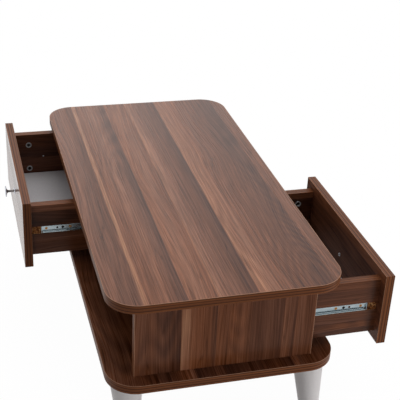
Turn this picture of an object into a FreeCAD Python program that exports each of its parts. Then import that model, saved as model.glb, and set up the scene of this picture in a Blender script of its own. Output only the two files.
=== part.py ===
import FreeCAD
import Part
import math
import os

# Coffee table with two drawers that open on opposite sides.
# Millimetres. X runs across the table, Y along it, Z up from the floor.
# The near half is -Y and its drawer opens to +X. The far half is the near half turned
# half a turn about Z, so its drawer opens to -X. The drawers are drawn partly open.

Vec = FreeCAD.Vector
X_AXIS = Vec(1, 0, 0)
Y_AXIS = Vec(0, 1, 0)
Z_AXIS = Vec(0, 0, 1)
ORIGIN = Vec(0, 0, 0)

# Boards and their edge bands
board = 18.0
band = 1.0
band_round = 0.6
table_length = 900.0
table_width = 450.0
corner_radius = 60.0

# Body between the top and the shelf, which stand out past it
end_overhang = 30.0
side_overhang = 50.0
body_height = 160.0

# Play between pieces of one body that fit together, and the overrun of a cut
play = 0.05
overrun = 1.0

# Legs: hollow cones that lean outwards along the table
leg_height = 150.0
leg_head_radius = 33.5
leg_foot_radius = 14.5
leg_lean = 47.0
leg_wall = 3.0
leg_floor = 4.0
leg_from_side = 42.0
leg_from_end = 64.0
glide_radius = 11.5
glide_thickness = 3.0
glide_round = 0.8
plate_thickness = 8.0
snap_reach = 0.8
snap_high = 3.0
snap_low = 5.0
plate_screw_circle = 18.0
plate_screw_grip = 10.0

# Wood screws with countersunk heads
screw_radius = 1.75
screw_head_radius = 3.0
screw_head_depth = 1.8
screw_point = 2.0
rail_screw_grip = 9.5
recess_radius = 1.1
recess_depth = 1.0

# Cam fittings
cam_radius = 7.4
cam_height = 13.0
cam_reach = 34.0
cam_recess_radius = 3.6
cam_recess_depth = 3.5
cam_rim_round = 0.4
cam_bore_radius = 3.4
cam_bore_past = 3.6
bolt_thread_radius = 2.9
bolt_thread_length = 11.0
bolt_shank_radius = 2.3
bolt_head_radius = 3.1
bolt_head_length = 4.0
bolt_way_radius = 4.0
bolt_past_centre = 2.0
cam_from_side = 55.0
dowel_radius = 4.0
dowel_in_board = 10.5
dowel_in_panel = 19.5
dowel_end_space = 0.5
dowel_end_round = 0.8
dowel_from_side = 87.0

# Drawers
drawn_open = 138.0
front_gap = 1.0
front_end_reveal = 2.0
front_middle_reveal = 1.0
front_low_gap = 2.0
front_high_gap = 2.0
side_below_front_top = 18.0
side_above_front_foot = 18.0
side_gap = 4.0
back_inset = 3.0
bottom_thickness = 3.0
bottom_above_side_foot = 12.0
bottom_in_groove = 5.0
bottom_groove_end = 0.5
cam_from_side_edge = 28.0
back_screw_radius = 2.4
back_screw_head_radius = 3.6
back_screw_head_depth = 3.0
back_screw_grip = 22.0

# Knob and its screw
knob_base_radius = 7.5
knob_base_height = 1.5
knob_stem_radius = 2.7
knob_neck_height = 16.0
knob_disc_height = 19.4
knob_height = 22.0
knob_cone_radius = 8.0
knob_disc_radius = 13.0
knob_crown = 0.9
knob_thread_radius = 2.0
knob_thread_depth = 9.0
knob_screw_past = 8.0
knob_screw_head_radius = 4.0
knob_screw_head_height = 2.2
knob_screw_head_round = 0.9
knob_screw_way_radius = 2.3

# Ball-bearing slides: the drawer's channel runs round the cabinet's channel
rail_depth = 10.0
rail_steel = 1.0
drawer_rail_height = 17.0
cabinet_rail_height = 9.0
groove_play = 0.2
rail_running_gap = 0.3
rail_lip = 0.9
rail_lip_steel = 0.8
rail_setback = 23.0
rail_rear_space = 25.0
flange_cut_back = 3.0
cage_steel = 0.4
strip_steel = 0.6
strip_reach = 4.3
cage_length = 80.0
balls_in_row = 8
ball_radius = 1.3
ball_hole_radius = 1.45
stop_thickness = 1.0
stop_width = 6.0
front_screw_at = 10.0
spare_hole_at = 34.0
locating_screw_at = 46.0
second_screw_at = 62.0
rear_screw_at = 39.0
spare_hole_radius = 2.4
spare_hole_depth = 8.0
tip_show = 2.0
cabinet_front_screw_at = 20.0
cabinet_middle_screw_at = 140.0
cabinet_rear_screw_at = 30.0

# Body and heights worked out from the sizes above
body_length = table_length - 2 * end_overhang
body_width = table_width - 2 * side_overhang
shelf_foot = leg_height
shelf_top = shelf_foot + board
top_foot = shelf_top + body_height

# Faces of the near drawer's bay and box, with the drawer closed
half_body = body_width / 2
end_outer = -body_length / 2
end_inner = end_outer + board
middle_face = -board / 2
side_end_outer = end_inner + side_gap
side_end_inner = side_end_outer + board
side_middle_outer = middle_face - side_gap
side_middle_inner = side_middle_outer - board
front_inner = half_body + front_gap
front_outer = front_inner + board
front_end = end_outer + front_end_reveal
front_middle = board / 2 - front_middle_reveal
front_foot = shelf_top + front_low_gap
front_top = top_foot - front_high_gap
side_foot = front_foot + side_above_front_foot
side_top = front_top - side_below_front_top
side_core_top = side_top - band
rear = -half_body + back_inset
rear_core = rear + band
back_inner = rear + board
bottom_foot = side_foot + bottom_above_side_foot
bottom_top = bottom_foot + bottom_thickness
rail_height_middle = (side_foot + side_top) / 2
cam_levels = (side_foot + cam_from_side_edge, side_top - cam_from_side_edge)
knob_y = (front_end + front_middle) / 2
knob_z = (front_foot + front_top) / 2

# Slide sizes across the gap, measured from the cabinet's panel towards the drawer
groove_depth = rail_depth - side_gap
drawer_web = rail_depth - rail_steel
cage_back = drawer_web - rail_running_gap
cage_front = cage_back - cage_steel
cabinet_rail_tip = cage_front - rail_running_gap
drawer_rail_tip = side_gap + rail_running_gap
rail_inner_height = drawer_rail_height - 2 * rail_steel
race_middle = (rail_inner_height + cabinet_rail_height) / 4
strip_front = cage_back - strip_reach
ball_depth = (strip_front + cage_front) / 2
rail_front = front_inner - rail_setback
rail_rear = rear + rail_rear_space
rail_middle = (rail_front + rail_rear) / 2


def box(x0, y0, z0, x1, y1, z1):
    """Block between two corners given in any order."""
    low = Vec(min(x0, x1), min(y0, y1), min(z0, z1))
    return Part.makeBox(abs(x1 - x0), abs(y1 - y0), abs(z1 - z0), low)


def rod(radius, start, direction, length):
    """Round rod from a point along a direction."""
    return Part.makeCylinder(radius, length, start, direction)


def turned(profile, start, direction):
    """Solid of revolution: (radius, distance) points about an axis from start."""
    points = [Vec(radius, 0, along) for radius, along in profile]
    face = Part.Face(Part.makePolygon(points + points[:1]))
    solid = face.revolve(ORIGIN, Z_AXIS, 360)
    turn = FreeCAD.Rotation(Z_AXIS, direction)
    return solid.transformed(FreeCAD.Placement(start, turn).toMatrix())


def half_turn(shape):
    """The same shape in the far half of the table."""
    return shape.rotated(ORIGIN, Z_AXIS, 180)


def moved(shape, x=0, y=0, z=0):
    return shape.translated(Vec(x, y, z))


def cut_all(shape, tools):
    return shape.cut(Part.makeCompound(tools)) if tools else shape


def slab(length, width, radius, foot, height):
    """Upright slab with a rounded-rectangle outline centred on Z."""
    block = box(-width / 2, -length / 2, foot, width / 2, length / 2, foot + height)
    corners = [edge for edge in block.Edges if abs(edge.tangentAt(edge.FirstParameter).z) > 0.5]
    return block.makeFillet(radius, corners)


def round_outer_edges(shape, radius, keep):
    """Small rounding on the edges that a test on the edge's middle point accepts."""
    edges = [edge for edge in shape.Edges if keep(edge.CenterOfMass, edge)]
    return shape.makeFillet(radius, edges)


def save(name, shapes):
    """One STEP file a node; several solids share a node as a group."""
    solids = shapes if isinstance(shapes, list) else [shapes]
    whole = solids[0] if len(solids) == 1 else Part.makeCompound(solids)
    whole.exportStep(os.path.join("parts", name + ".step"))
    print(name, len(whole.Solids), round(whole.Volume, 1), whole.isValid())


# Fasteners


def countersunk_screw(start, direction, length, core=screw_radius, head=screw_head_radius,
                      head_depth=screw_head_depth):
    """Screw whose head is flush at start, with a round driver recess and a point."""
    profile = [
        (0, 0),
        (head, 0),
        (core, head_depth),
        (core, length - screw_point),
        (0, length),
    ]
    screw = turned(profile, start, direction)
    return screw.cut(rod(recess_radius, start, direction, recess_depth))


def screw_way(start, direction, length, core=screw_radius, head=screw_head_radius,
              head_depth=screw_head_depth):
    """Countersunk pilot hole that the screw fits with a little play."""
    outward = start - direction * play
    profile = [
        (0, 0),
        (head + play, 0),
        (head + play, play),
        (core + play, head_depth + play),
        (core + play, length + 2 * play),
        (0, length + 2 * play),
    ]
    return turned(profile, outward, direction)


def cam_lock(face_point, inward, towards_bolt):
    """Round cam housing let into a board's face, with a driver recess and the bolt's way in."""
    body = rod(cam_radius, face_point, inward, cam_height)
    body = round_outer_edges(body, cam_rim_round,
                             lambda middle, edge: (middle - face_point).Length < overrun)
    recess = rod(cam_recess_radius, face_point, inward, cam_recess_depth)
    bolt_line = face_point + inward * (board / 2)
    way = rod(cam_bore_radius, bolt_line - towards_bolt * cam_bore_past, towards_bolt,
              cam_radius + cam_bore_past + overrun)
    return body.cut(recess).cut(way)


def cam_bolt(face_point, into_board):
    """Bolt screwed into a board, whose round head reaches the cam."""
    reach = cam_reach + bolt_past_centre
    neck = cam_reach - bolt_head_length / 2
    profile = [
        (0, -reach),
        (bolt_head_radius, -reach),
        (bolt_head_radius, -neck),
        (bolt_shank_radius, -neck),
        (bolt_shank_radius, 0),
        (bolt_thread_radius, 0),
        (bolt_thread_radius, bolt_thread_length),
        (0, bolt_thread_length),
    ]
    return turned(profile, face_point, into_board)


def cam_cuts(cam_face_point, inward, edge_point, into_board):
    """Housing pocket and bolt way in the board that carries the cam."""
    pocket = rod(cam_radius + play, cam_face_point - inward * overrun, inward,
                 cam_height + play + overrun)
    way = rod(bolt_way_radius, edge_point + into_board * overrun, into_board * -1,
              cam_reach + overrun)
    return [pocket, way]


def bolt_pilot(face_point, into_board):
    start = face_point - into_board * overrun
    return rod(bolt_thread_radius + play, start, into_board, bolt_thread_length + play + overrun)


def dowel(face_point, into_board):
    """Dowel across the joint between a panel's edge and a board's face."""
    start = face_point - into_board * dowel_in_panel
    length = dowel_in_panel + dowel_in_board
    pin = rod(dowel_radius, start, into_board, length)
    return pin.makeChamfer(dowel_end_round, [edge for edge in pin.Edges if edge.Closed])


def dowel_hole(face_point, into_board, depth, towards):
    start = face_point - into_board * (overrun * towards)
    hole_depth = depth + dowel_end_space + overrun
    return rod(dowel_radius + play, start, into_board * towards, hole_depth)


# Where the three panels meet the top and the shelf

panel_rows = {
    "end_panel_near": (end_outer, 1),
    "centre_partition": (-board / 2, -1),
    "end_panel_far": (-end_outer - board, -1),
}


def panel_joints(row):
    """Bolt and dowel points on the top and shelf for one panel."""
    start_y, cam_side = panel_rows[row]
    middle_y = start_y + board / 2
    joints = []
    for level, into in ((top_foot, Z_AXIS), (shelf_top, Z_AXIS * -1)):
        for side in (-1, 1):
            cam_x = side * (half_body - cam_from_side)
            dowel_x = side * (half_body - dowel_from_side)
            joints.append((Vec(cam_x, middle_y, level), Vec(dowel_x, middle_y, level), into, cam_side))
    return joints


all_joints = [joint for row in panel_rows for joint in panel_joints(row)]


def cam_face_of(bolt_point, into, cam_side):
    """Middle of a carcass cam on the panel's face."""
    return bolt_point - into * cam_reach + Y_AXIS * (cam_side * board / 2)


def panel(row):
    start_y, cam_side = panel_rows[row]
    core = box(-half_body + band, start_y, shelf_top, half_body - band, start_y + board, top_foot)
    cuts = []
    for bolt_point, dowel_point, into, side in panel_joints(row):
        face_point = cam_face_of(bolt_point, into, side)
        cuts += cam_cuts(face_point, Y_AXIS * -side, bolt_point, into)
        cuts.append(dowel_hole(dowel_point, into, dowel_in_panel, -1))
    cuts += [hole for face, hole in cabinet_screw_ways if face == start_y]
    return cut_all(core, cuts)


def panel_bands():
    strips = []
    for start_y, _ in panel_rows.values():
        for side in (-1, 1):
            outer = side * half_body
            strip = box(outer - side * band, start_y, shelf_top, outer, start_y + board, top_foot)
            strips.append(round_outer_edges(
                strip, band_round,
                lambda middle, edge: abs(middle.x - outer) < play
                and abs(edge.tangentAt(edge.FirstParameter).z) > 0.5))
    return strips


def level_board(foot, ways):
    """Top or shelf board inside its edge band."""
    inner_radius = corner_radius - band
    plain = slab(table_length - 2 * band, table_width - 2 * band, inner_radius, foot, board)
    return cut_all(plain, ways)


def level_band(foot):
    outer = slab(table_length, table_width, corner_radius, foot, board)
    inner = slab(table_length - 2 * band, table_width - 2 * band, corner_radius - band,
                 foot - overrun, board + 2 * overrun)
    ring = outer.cut(inner)

    def on_rim(middle, edge):
        flat = abs(middle.z - foot) < play or abs(middle.z - foot - board) < play
        ends = [vertex.Point for vertex in edge.Vertexes]
        outside = all(abs(point.x) > table_width / 2 - play or abs(point.y) > table_length / 2 - play
                      for point in ends)
        return flat and outside

    return round_outer_edges(ring, band_round, on_rim)


# Legs


def leg_section(side, end, drop, inset):
    """Circle of the leaning cone at a distance below the shelf, moved inwards by inset."""
    share = drop / leg_height
    radius = leg_head_radius + (leg_foot_radius - leg_head_radius) * share - inset
    centre = Vec(side * (table_width / 2 - leg_from_side),
                 end * (table_length / 2 - leg_from_end + leg_lean * share),
                 shelf_foot - drop)
    return Part.Wire([Part.makeCircle(radius, centre, Z_AXIS)])


def cone(side, end, drop_from, drop_to, inset):
    sections = [leg_section(side, end, drop, inset) for drop in (drop_to, drop_from)]
    return Part.makeLoft(sections, True, True)


def leg(side, end):
    """Moulded shell, open at the head, with a groove inside that snaps over the plate's rim."""
    outer = cone(side, end, 0, leg_height - glide_thickness, 0)
    hollow = cone(side, end, -overrun, leg_height - glide_thickness - leg_floor, leg_wall)
    snap_groove = cone(side, end, snap_high - play, snap_low + play, leg_wall - snap_reach)
    return outer.cut(hollow).cut(snap_groove)


def glide(side, end):
    foot = Vec(side * (table_width / 2 - leg_from_side),
               end * (table_length / 2 - leg_from_end + leg_lean), 0)
    pad = rod(glide_radius, foot, Z_AXIS, glide_thickness)
    return round_outer_edges(pad, glide_round, lambda middle, edge: edge.Closed and middle.z < play)


def plate_screw_points(side, end):
    centre = Vec(side * (table_width / 2 - leg_from_side), end * (table_length / 2 - leg_from_end),
                 shelf_foot - plate_thickness)
    points = []
    for turn in range(4):
        angle = math.radians(45 + 90 * turn)
        offset = Vec(math.cos(angle), math.sin(angle), 0) * plate_screw_circle
        points.append(centre + offset)
    return points


plate_screw_length = plate_thickness + plate_screw_grip


def mounting_plate(side, end):
    disc = cone(side, end, 0, plate_thickness, leg_wall + play)
    rim = cone(side, end, snap_high, snap_low, leg_wall + play - snap_reach)
    return cut_all(disc.fuse(rim), [screw_way(point, Z_AXIS, plate_screw_length)
                          for point in plate_screw_points(side, end)])


leg_places = {
    "leg_near_left": (-1, -1),
    "leg_near_right": (1, -1),
    "leg_far_left": (-1, 1),
    "leg_far_right": (1, 1),
}
plate_points = [point for side, end in leg_places.values() for point in plate_screw_points(side, end)]


# Slides. Each is drawn along X against a panel face at y = 0 with the drawer towards +Y


def rail_screw_places():
    """Distances along X of the drawer member's screws, spare hole and locating screw."""
    screws = [rail_front - front_screw_at, rail_front - second_screw_at, rail_rear + rear_screw_at]
    return screws, rail_front - spare_hole_at, rail_front - locating_screw_at


def cabinet_screw_places():
    return [rail_front - cabinet_front_screw_at, rail_front - cabinet_middle_screw_at,
            rail_rear + cabinet_rear_screw_at]


def cabinet_member():
    half = cabinet_rail_height / 2
    web = box(rail_rear, 0, -half, rail_front, rail_steel, half)
    upper = box(rail_rear, 0, half - rail_steel, rail_front, cabinet_rail_tip, half)
    lower = box(rail_rear, 0, -half, rail_front, cabinet_rail_tip, rail_steel - half)
    stop = box(rail_front - stop_thickness, cabinet_rail_tip - rail_steel, -half,
               rail_front, cage_back, half)
    ways = [screw_way(Vec(x, rail_steel, 0), Y_AXIS * -1, rail_steel + rail_screw_grip)
            for x in cabinet_screw_places()]
    return cut_all(web.fuse([upper, lower, stop]).removeSplitter(), ways)


def drawer_member():
    half = drawer_rail_height / 2
    inner = rail_inner_height / 2
    flange_front = rail_front - flange_cut_back
    flange_rear = rail_rear + flange_cut_back
    pieces = []
    for up in (-1, 1):
        pieces.append(box(flange_rear, drawer_rail_tip, up * inner, flange_front, rail_depth, up * half))
        pieces.append(box(flange_rear, drawer_rail_tip, up * (inner - rail_lip),
                          flange_front, drawer_rail_tip + rail_lip_steel, up * half))
    pieces.append(box(rail_rear, drawer_web - rail_running_gap - cage_steel, -stop_width / 2,
                      rail_rear + stop_thickness, drawer_web, stop_width / 2))
    web = box(rail_rear, drawer_web, -half, rail_front, rail_depth, half)
    screws, spare, locating = rail_screw_places()
    ways = [screw_way(Vec(x, drawer_web, 0), Y_AXIS, rail_steel + rail_screw_grip)
            for x in screws + [locating]]
    ways.append(rod(spare_hole_radius, Vec(spare, 0, 0), Y_AXIS, rail_depth + overrun))
    return cut_all(web.fuse(pieces).removeSplitter(), ways)


def ball_rows():
    """Ball centres along and across one slide, with the drawer closed."""
    spacing = cage_length / balls_in_row
    start = rail_middle - cage_length / 2 + spacing / 2
    return [Vec(start + count * spacing, ball_depth, up * race_middle)
            for up in (-1, 1) for count in range(balls_in_row)]


def ball_cage():
    start = rail_middle - cage_length / 2
    finish = rail_middle + cage_length / 2
    edge = race_middle + strip_steel / 2
    web = box(start, cage_front, -edge, finish, cage_back, edge)
    strips = [box(start, strip_front, up * (edge - strip_steel), finish, cage_back, up * edge)
              for up in (-1, 1)]
    holes = [rod(ball_hole_radius, centre - Z_AXIS * overrun, Z_AXIS, 2 * overrun)
             for centre in ball_rows()]
    return cut_all(web.fuse(strips).removeSplitter(), holes)


def balls():
    return [Part.makeSphere(ball_radius, centre) for centre in ball_rows()]


def drawer_rail_screws():
    length = rail_steel + rail_screw_grip
    return [countersunk_screw(Vec(x, drawer_web, 0), Y_AXIS, length) for x in rail_screw_places()[0]]


locating_screw_length = rail_steel + board - groove_depth + tip_show


def locating_screw():
    place = Vec(rail_screw_places()[2], drawer_web, 0)
    return countersunk_screw(place, Y_AXIS, locating_screw_length)


def cabinet_rail_screws():
    length = rail_steel + rail_screw_grip
    return [countersunk_screw(Vec(x, rail_steel, 0), Y_AXIS * -1, length)
            for x in cabinet_screw_places()]


def on_end_panel(shape):
    return moved(shape, 0, end_inner, rail_height_middle)


def on_partition(shape):
    return moved(shape.mirror(ORIGIN, Y_AXIS), 0, middle_face, rail_height_middle)


def both_slides(shapes):
    """The same pieces in the end slide and in the middle slide of the near bay."""
    return [on_end_panel(shape) for shape in shapes] + [on_partition(shape) for shape in shapes]


def cabinet_pilots():
    """Pilot holes for the cabinet rails, listed with the panel that they go into."""
    length = rail_steel + rail_screw_grip
    holes = [screw_way(Vec(x, rail_steel, 0), Y_AXIS * -1, length) for x in cabinet_screw_places()]
    near_end = panel_rows["end_panel_near"][0]
    middle = panel_rows["centre_partition"][0]
    far_end = panel_rows["end_panel_far"][0]
    found = [(near_end, on_end_panel(hole)) for hole in holes]
    found += [(middle, on_partition(hole)) for hole in holes]
    found += [(far_end, half_turn(on_end_panel(hole))) for hole in holes]
    found += [(middle, half_turn(on_partition(hole))) for hole in holes]
    return found


cabinet_screw_ways = cabinet_pilots()


# Drawer, drawn closed in the near bay

side_faces = {"end": (side_end_outer, side_end_inner), "middle": (side_middle_outer, side_middle_inner)}


def inward_of(name):
    """Direction from a drawer side's outer face to its inner face."""
    outer, inner = side_faces[name]
    return Y_AXIS if inner > outer else Y_AXIS * -1


def drawer_cam_points(name):
    """Cam middles on the side's inner face and bolt points on the front's inner face."""
    outer, inner = side_faces[name]
    return [(Vec(front_inner - cam_reach, inner, level), Vec(front_inner, (outer + inner) / 2, level))
            for level in cam_levels]


def back_screw_starts(name):
    outer, _ = side_faces[name]
    return [Vec(rear + board / 2, outer, level) for level in cam_levels]


back_screw_length = board + back_screw_grip


def back_screw_way(start, direction):
    return screw_way(start, direction, back_screw_length, back_screw_radius,
                     back_screw_head_radius, back_screw_head_depth)


def bottom_groove():
    """Groove for the bottom, cut from the sides, the front and the back alike."""
    reach = bottom_in_groove + bottom_groove_end
    return box(back_inner - reach, side_end_inner - reach, bottom_foot - play,
               front_inner + reach, side_middle_inner + reach, bottom_top + play)


def rail_cuts(name):
    """Slide groove and screw holes in a drawer side."""
    outer, _ = side_faces[name]
    inward = inward_of(name)
    half = drawer_rail_height / 2 + groove_play
    groove = box(rear - overrun, outer - inward.y * overrun, rail_height_middle - half,
                 front_inner + overrun, outer + inward.y * groove_depth, rail_height_middle + half)
    place = on_end_panel if name == "end" else on_partition
    screws, spare, locating = rail_screw_places()
    ways = [screw_way(Vec(x, drawer_web, 0), Y_AXIS, rail_steel + rail_screw_grip) for x in screws]
    ways.append(rod(spare_hole_radius, Vec(spare, rail_depth, 0), Y_AXIS, spare_hole_depth))
    ways.append(screw_way(Vec(locating, drawer_web, 0), Y_AXIS, locating_screw_length))
    return [groove] + [place(way) for way in ways]


def drawer_side(name):
    outer, inner = side_faces[name]
    inward = inward_of(name)
    core = box(rear_core, outer, side_foot, front_inner, inner, side_core_top)
    cuts = [bottom_groove()] + rail_cuts(name)
    for cam_point, bolt_point in drawer_cam_points(name):
        cuts += cam_cuts(cam_point, inward * -1, bolt_point, X_AXIS)
    cuts += [back_screw_way(start, inward) for start in back_screw_starts(name)]
    return cut_all(core, cuts)


def drawer_front():
    core = box(front_inner, front_end + band, front_foot + band,
               front_outer, front_middle - band, front_top - band)
    cuts = [bottom_groove()]
    for name in side_faces:
        cuts += [bolt_pilot(bolt_point, X_AXIS) for _, bolt_point in drawer_cam_points(name)]
    cuts.append(rod(knob_screw_way_radius, Vec(front_inner - overrun, knob_y, knob_z), X_AXIS,
                    board + 2 * overrun))
    return cut_all(core, cuts)


def front_band():
    outer = box(front_inner, front_end, front_foot, front_outer, front_middle, front_top)
    inner = box(front_inner - overrun, front_end + band, front_foot + band,
                front_outer + overrun, front_middle - band, front_top - band)
    ring = outer.cut(inner)

    def on_rim(middle, edge):
        face_edge = abs(middle.x - front_inner) < play or abs(middle.x - front_outer) < play
        across = min(abs(middle.y - front_end), abs(middle.y - front_middle)) < play
        upright = min(abs(middle.z - front_foot), abs(middle.z - front_top)) < play
        return face_edge and (across or upright)

    return round_outer_edges(ring, band_round, on_rim)


def drawer_back():
    core = box(rear, side_end_inner, side_foot, back_inner, side_middle_inner, side_core_top)
    cuts = [bottom_groove()]
    for name in side_faces:
        cuts += [back_screw_way(start, inward_of(name)) for start in back_screw_starts(name)]
    return cut_all(core, cuts)


def drawer_bottom():
    return box(back_inner - bottom_in_groove, side_end_inner - bottom_in_groove, bottom_foot,
               front_inner + bottom_in_groove, side_middle_inner + bottom_in_groove, bottom_top)


def drawer_bands():
    """Strips on the upper edges of the sides and back and on the sides' rear ends."""
    strips = []
    for name, (outer, inner) in side_faces.items():
        strips.append(box(rear_core, outer, side_core_top, front_inner, inner, side_top))
        rear_end = box(rear, outer, side_foot, rear_core, inner, side_top)
        strips.append(rear_end.cut(rail_cuts(name)[0]))
    strips.append(box(rear_core, side_end_inner, side_core_top, back_inner, side_middle_inner, side_top))
    return strips


def knob():
    base = Vec(front_outer, knob_y, knob_z)
    profile = [
        (0, 0),
        (knob_base_radius, 0),
        (knob_base_radius, knob_base_height),
        (knob_stem_radius, knob_base_height + knob_crown),
        (knob_stem_radius, knob_neck_height),
        (knob_cone_radius, knob_disc_height),
        (knob_disc_radius, knob_disc_height + knob_crown),
        (knob_disc_radius, knob_height - knob_crown),
        (knob_cone_radius, knob_height),
        (0, knob_height),
    ]
    body = turned(profile, base, X_AXIS)
    return body.cut(rod(knob_thread_radius + play, base, X_AXIS, knob_thread_depth))


def knob_screw():
    start = Vec(front_inner, knob_y, knob_z)
    head = rod(knob_screw_head_radius, start - X_AXIS * knob_screw_head_height, X_AXIS,
               knob_screw_head_height)
    outer_face = start.x - knob_screw_head_height
    head = round_outer_edges(head, knob_screw_head_round,
                             lambda middle, edge: edge.Closed and abs(middle.x - outer_face) < play)
    shank = rod(knob_thread_radius, start, X_AXIS, board + knob_screw_past)
    recess = rod(recess_radius, Vec(outer_face, knob_y, knob_z), X_AXIS, recess_depth)
    return head.fuse(shank).removeSplitter().cut(recess)


def drawer_pieces():
    """Every piece that travels with a drawer, by node name without the half's name."""
    cams = []
    bolts = []
    back_screws = []
    for name in side_faces:
        for cam_point, bolt_point in drawer_cam_points(name):
            cams.append(cam_lock(cam_point, inward_of(name) * -1, X_AXIS))
            bolts.append(cam_bolt(bolt_point, X_AXIS))
        back_screws += [countersunk_screw(start, inward_of(name), back_screw_length, back_screw_radius,
                                          back_screw_head_radius, back_screw_head_depth)
                        for start in back_screw_starts(name)]
    return {
        "drawer_front": [drawer_front()],
        "drawer_front_edge_band": [front_band()],
        "drawer_side_end": [drawer_side("end")],
        "drawer_side_middle": [drawer_side("middle")],
        "drawer_back": [drawer_back()],
        "drawer_bottom": [drawer_bottom()],
        "drawer_edge_bands": drawer_bands(),
        "drawer_knob": [knob()],
        "drawer_knob_screw": [knob_screw()],
        "drawer_cam_locks": cams,
        "drawer_cam_bolts": bolts,
        "drawer_back_screws": back_screws,
        "drawer_rail_end": [on_end_panel(drawer_member())],
        "drawer_rail_middle": [on_partition(drawer_member())],
        "drawer_rail_screws": both_slides(drawer_rail_screws()),
        "drawer_locating_screws": both_slides([locating_screw()]),
    }


def save_half(half, place):
    """Drawer, ball cages and cabinet rails of one half of the table."""
    for name, shapes in drawer_pieces().items():
        save(half + "_" + name, [place(moved(shape, drawn_open)) for shape in shapes])
    cages = both_slides([ball_cage()])
    save(half + "_ball_cages", [place(moved(shape, drawn_open / 2)) for shape in cages])
    save(half + "_cage_balls", [place(moved(shape, drawn_open / 2)) for shape in both_slides(balls())])
    save(half + "_cabinet_rail_end", place(on_end_panel(cabinet_member())))
    save(half + "_cabinet_rail_middle", place(on_partition(cabinet_member())))


def save_table():
    top_ways = []
    shelf_ways = []
    bolts = []
    dowels = []
    cams = []
    for bolt_point, dowel_point, into, cam_side in all_joints:
        ways = top_ways if into.z > 0 else shelf_ways
        ways.append(bolt_pilot(bolt_point, into))
        ways.append(dowel_hole(dowel_point, into, dowel_in_board, 1))
        bolts.append(cam_bolt(bolt_point, into))
        dowels.append(dowel(dowel_point, into))
        cams.append(cam_lock(cam_face_of(bolt_point, into, cam_side), Y_AXIS * -cam_side, into))
    shelf_ways += [screw_way(point, Z_AXIS, plate_screw_length) for point in plate_points]
    save("table_top", level_board(top_foot, top_ways))
    save("table_top_edge_band", level_band(top_foot))
    save("lower_shelf", level_board(shelf_foot, shelf_ways))
    save("lower_shelf_edge_band", level_band(shelf_foot))
    for row in panel_rows:
        save(row, panel(row))
    save("panel_edge_bands", panel_bands())
    save("carcass_cam_locks", cams)
    save("carcass_cam_bolts", bolts)
    save("carcass_dowels", dowels)
    for name, (side, end) in leg_places.items():
        save(name, leg(side, end))
    save("leg_mounting_plates", [mounting_plate(side, end) for side, end in leg_places.values()])
    save("leg_plate_screws", [countersunk_screw(point, Z_AXIS, plate_screw_length)
                              for point in plate_points])
    save("foot_glides", [glide(side, end) for side, end in leg_places.values()])
    near_screws = both_slides(cabinet_rail_screws())
    save("cabinet_rail_screws", near_screws + [half_turn(screw) for screw in near_screws])


os.makedirs("parts", exist_ok=True)
save_table()
save_half("near", lambda shape: shape)
save_half("far", half_turn)
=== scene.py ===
import math

import bmesh
import bpy
from mathutils import Euler, Matrix, Vector


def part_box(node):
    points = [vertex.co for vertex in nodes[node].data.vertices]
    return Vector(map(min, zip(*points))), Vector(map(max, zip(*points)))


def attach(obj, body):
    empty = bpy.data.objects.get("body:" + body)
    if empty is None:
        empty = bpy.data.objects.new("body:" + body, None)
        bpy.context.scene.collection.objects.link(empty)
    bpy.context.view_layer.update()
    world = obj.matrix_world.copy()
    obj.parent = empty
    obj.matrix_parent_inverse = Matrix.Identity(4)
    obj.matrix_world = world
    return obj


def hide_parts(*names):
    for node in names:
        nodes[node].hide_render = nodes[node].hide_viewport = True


# Coffee table with two drawers, drawn half open. Metres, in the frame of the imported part.

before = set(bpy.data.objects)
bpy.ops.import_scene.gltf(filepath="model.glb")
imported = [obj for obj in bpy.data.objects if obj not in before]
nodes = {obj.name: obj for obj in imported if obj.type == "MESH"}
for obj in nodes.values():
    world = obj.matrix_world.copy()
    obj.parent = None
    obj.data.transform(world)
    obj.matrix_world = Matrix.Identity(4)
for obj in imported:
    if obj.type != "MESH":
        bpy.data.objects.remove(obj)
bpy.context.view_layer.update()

MM = 0.001

# Sign of X and Y in each half: the far half is the near one after half a turn about Z
HALVES = {"near": 1, "far": -1}


# Node trees

# Sockets of node groups that aren't plain numbers
SOCKETS = {"Color": "NodeSocketColor", "Vector": "NodeSocketVector"}


def add(tree, kind, settings=None, inputs=None):
    """A node with its settings, and with values or links on its input sockets."""
    node = tree.nodes.new(kind)
    for name, value in (settings or {}).items():
        setattr(node, name, value)
    for name, value in (inputs or {}).items():
        if isinstance(value, bpy.types.NodeSocket):
            tree.links.new(value, node.inputs[name])
        else:
            node.inputs[name].default_value = value
    return node


def calc(tree, operation, first, second=0.0, third=0.0):
    return add(tree, "ShaderNodeMath", {"operation": operation},
               {0: first, 1: second, 2: third}).outputs[0]


def shifted_by(tree, value, rest, weight, total):
    """The total, plus the value's distance from its rest times a weight."""
    return calc(tree, "MULTIPLY_ADD", calc(tree, "SUBTRACT", value, rest), weight, total)


def vector(tree, x, y, z):
    return add(tree, "ShaderNodeCombineXYZ", inputs={"X": x, "Y": y, "Z": z}).outputs[0]


def noise(tree, at, scale=1.0, detail=2.0, roughness=0.5):
    return add(tree, "ShaderNodeTexNoise", inputs={
        "Vector": at, "Scale": scale, "Detail": detail, "Roughness": roughness}).outputs["Fac"]


def remap(tree, value, low, high, to_low=0.0, to_high=1.0):
    return add(tree, "ShaderNodeMapRange", inputs={
        "Value": value, "From Min": low, "From Max": high,
        "To Min": to_low, "To Max": to_high}).outputs["Result"]


def blend_values(tree, share, first, second):
    """The first value where the share is 0, the second where it is 1."""
    return add(tree, "ShaderNodeMix", inputs={0: share, 2: first, 3: second}).outputs[0]


def blend_colours(tree, share, first, second):
    """The first colour where the share is 0, the second where it is 1."""
    return add(tree, "ShaderNodeMix", {"data_type": "RGBA"}, {0: share, 6: first, 7: second}).outputs[2]


def luminance(tree, colour):
    return add(tree, "ShaderNodeRGBToBW", inputs={"Color": colour}).outputs[0]


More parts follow.
